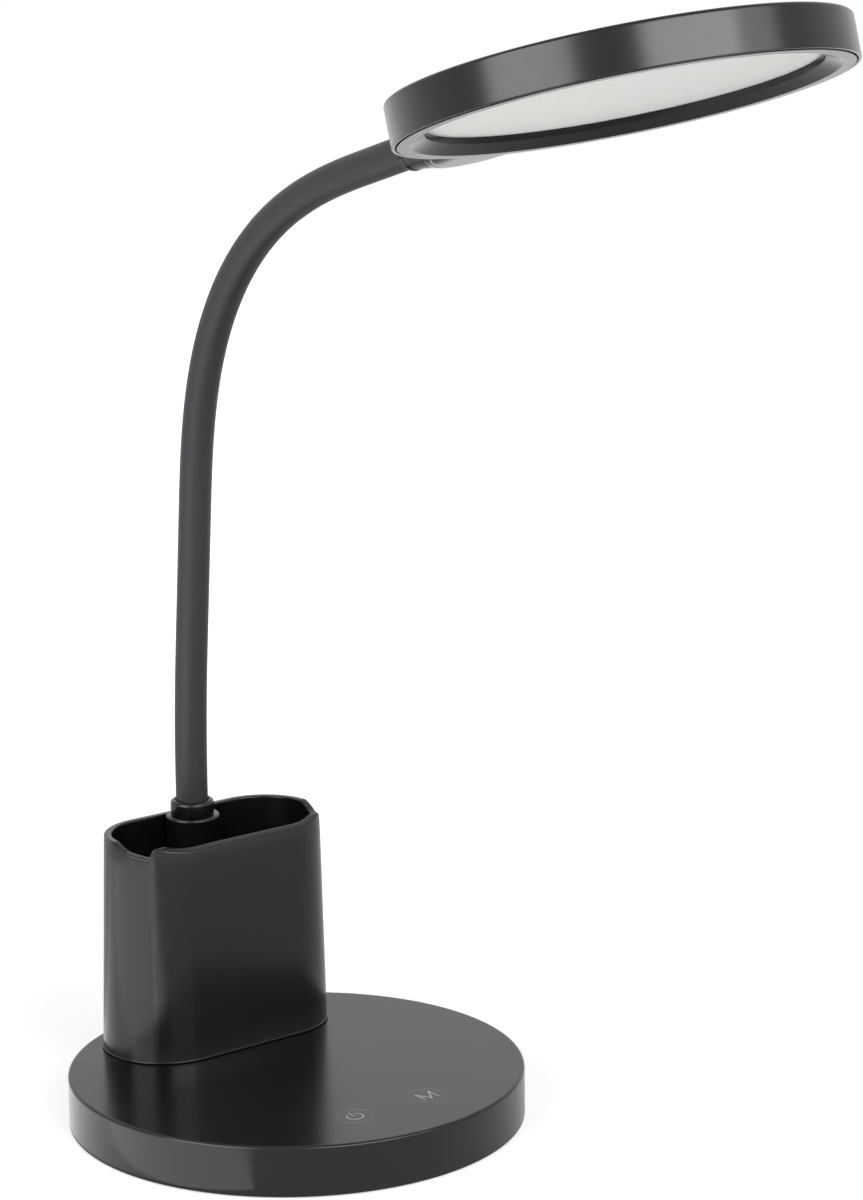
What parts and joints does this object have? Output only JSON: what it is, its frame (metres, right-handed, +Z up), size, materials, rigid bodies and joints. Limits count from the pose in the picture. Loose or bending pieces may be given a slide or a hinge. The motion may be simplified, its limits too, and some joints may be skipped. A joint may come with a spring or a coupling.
{
  "type": "cordless led table lamp",
  "caption": "Cordless LED table lamp: round weighted base with touch keys, pen cup column with a groove for a phone, flexible gooseneck and flat round lamp head.",
  "frame": {"origin": "middle of the rubber foot pad's underside, on the table", "axes": "+Z up, -Y towards the front where the lamp head reaches and the touch keys are, +X to the right seen from the front"},
  "size_m": [0.1398, 0.2815, 0.3483],
  "materials": {
    "black_plastic": "satin near-black",
    "key_print": "satin dark grey, printed symbol",
    "sleeve_rubber": "matt dark grey",
    "pad_rubber": "matt",
    "steel": "zinc plated",
    "core_metal": "satin",
    "ballast_iron": "raw",
    "board_green": "printed circuit board",
    "board_white": "white solder mask",
    "foil_silver": "laminate pouch",
    "frosted_white": "frosted, translucent",
    "lead_red": "insulated wire"
  },
  "bodies": {
    "stand": {"foot_pad": "pad_rubber", "base_floor": "black_plastic", "base_shell": "black_plastic", "base_screw_1": "steel", "base_screw_2": "steel", "base_screw_3": "steel", "base_weight": "ballast_iron", "battery_cell": "foil_silver", "battery_lead": "lead_red", "control_board": "board_green", "charge_socket": "steel", "charge_light": "frosted_white", "touch_board": "board_green", "touch_lead": "lead_red", "power_key": "key_print", "mode_key": "key_print", "column_cup": "black_plastic", "column_screw_1": "steel", "column_screw_2": "steel", "lamp_lead": "lead_red", "neck_nut": "steel", "neck_washer": "steel", "lower_collar": "black_plastic", "neck_core_00": "core_metal"},
    "neck_link_01": {"neck_core_01": "core_metal", "neck_sleeve_01": "sleeve_rubber"},
    "neck_link_02": {"neck_core_02": "core_metal", "neck_sleeve_02": "sleeve_rubber"},
    "neck_link_03": {"neck_core_03": "core_metal", "neck_sleeve_03": "sleeve_rubber"},
    "neck_link_04": {"neck_core_04": "core_metal", "neck_sleeve_04": "sleeve_rubber"},
    "neck_link_05": {"neck_core_05": "core_metal", "neck_sleeve_05": "sleeve_rubber"},
    "neck_link_06": {"neck_core_06": "core_metal", "neck_sleeve_06": "sleeve_rubber"},
    "neck_link_07": {"neck_core_07": "core_metal", "neck_sleeve_07": "sleeve_rubber"},
    "neck_link_08": {"neck_core_08": "core_metal", "neck_sleeve_08": "sleeve_rubber"},
    "neck_link_09": {"neck_core_09": "core_metal", "neck_sleeve_09": "sleeve_rubber"},
    "neck_link_10": {"neck_core_10": "core_metal", "neck_sleeve_10": "sleeve_rubber"},
    "neck_link_11": {"neck_core_11": "core_metal", "neck_sleeve_11": "sleeve_rubber"},
    "head": {"neck_core_12": "core_metal", "neck_sleeve_12": "sleeve_rubber", "head_cover": "black_plastic", "bezel_ring": "black_plastic", "diffuser": "frosted_white", "reflector_ring": "board_white", "led_board": "board_white", "led_board_screw_1": "steel", "led_board_screw_2": "steel", "upper_collar": "black_plastic", "arm_set_screw": "steel", "head_lead": "lead_red"}
  },
  "joints": [
    {"name": "neck_bend_1", "type": "hinge", "parent": "stand", "child": "neck_link_01", "pos_m": [0, 0.05227, 0.09629], "axis": [1, 0, 0], "range_deg": [-12, 10], "deforming": ["neck_sleeve_01"]},
    {"name": "neck_sway_1", "type": "hinge", "parent": "neck_link_01", "child": "neck_link_02", "pos_m": [0, 0.05166, 0.11876], "axis": [0, 0.9988, 0.0497], "range_deg": [-10, 10], "deforming": ["neck_sleeve_02"]},
    {"name": "neck_bend_2", "type": "hinge", "parent": "neck_link_02", "child": "neck_link_03", "pos_m": [0, 0.0501, 0.14119], "axis": [1, 0, 0], "range_deg": [-12, 10], "deforming": ["neck_sleeve_03"]},
    {"name": "neck_sway_2", "type": "hinge", "parent": "neck_link_03", "child": "neck_link_04", "pos_m": [0, 0.04822, 0.1636], "axis": [0, 0.9965, 0.0837], "range_deg": [-10, 10], "deforming": ["neck_sleeve_04"]},
    {"name": "neck_bend_3", "type": "hinge", "parent": "neck_link_04", "child": "neck_link_05", "pos_m": [0, 0.04634, 0.186], "axis": [1, 0, 0], "range_deg": [-12, 10], "deforming": ["neck_sleeve_05"]},
    {"name": "neck_sway_3", "type": "hinge", "parent": "neck_link_05", "child": "neck_link_06", "pos_m": [0, 0.04369, 0.20832], "axis": [0, 0.9856, 0.1692], "range_deg": [-10, 10], "deforming": ["neck_sleeve_06"]},
    {"name": "neck_bend_4", "type": "hinge", "parent": "neck_link_06", "child": "neck_link_07", "pos_m": [0, 0.03805, 0.23006], "axis": [1, 0, 0], "range_deg": [-12, 10], "deforming": ["neck_sleeve_07"]},
    {"name": "neck_sway_4", "type": "hinge", "parent": "neck_link_07", "child": "neck_link_08", "pos_m": [0, 0.028, 0.25011], "axis": [0, 0.8332, 0.553], "range_deg": [-10, 10], "deforming": ["neck_sleeve_08"]},
    {"name": "neck_bend_5", "type": "hinge", "parent": "neck_link_08", "child": "neck_link_09", "pos_m": [0, 0.01335, 0.26709], "axis": [1, 0, 0], "range_deg": [-12, 10], "deforming": ["neck_sleeve_09"]},
    {"name": "neck_sway_5", "type": "hinge", "parent": "neck_link_09", "child": "neck_link_10", "pos_m": [0, -0.00495, 0.28008], "axis": [0, 0.4867, 0.8736], "range_deg": [-10, 10], "deforming": ["neck_sleeve_10"]},
    {"name": "neck_bend_6", "type": "hinge", "parent": "neck_link_10", "child": "neck_link_11", "pos_m": [0, -0.02544, 0.28925], "axis": [1, 0, 0], "range_deg": [-12, 10], "deforming": ["neck_sleeve_11"]},
    {"name": "neck_sway_6", "type": "hinge", "parent": "neck_link_11", "child": "head", "pos_m": [0, -0.04685, 0.29612], "axis": [0, 0.289, 0.9573], "range_deg": [-10, 10], "deforming": ["neck_sleeve_12"]}
  ],
  "couplings": [
    {"joint": "neck_bend_2", "follows": "neck_bend_1", "ratio": 1},
    {"joint": "neck_sway_2", "follows": "neck_sway_1", "ratio": 1},
    {"joint": "neck_bend_3", "follows": "neck_bend_1", "ratio": 1},
    {"joint": "neck_sway_3", "follows": "neck_sway_1", "ratio": 1},
    {"joint": "neck_bend_4", "follows": "neck_bend_1", "ratio": 1},
    {"joint": "neck_sway_4", "follows": "neck_sway_1", "ratio": 1},
    {"joint": "neck_bend_5", "follows": "neck_bend_1", "ratio": 1},
    {"joint": "neck_sway_5", "follows": "neck_sway_1", "ratio": 1},
    {"joint": "neck_bend_6", "follows": "neck_bend_1", "ratio": 1},
    {"joint": "neck_sway_6", "follows": "neck_sway_1", "ratio": 1}
  ]
}
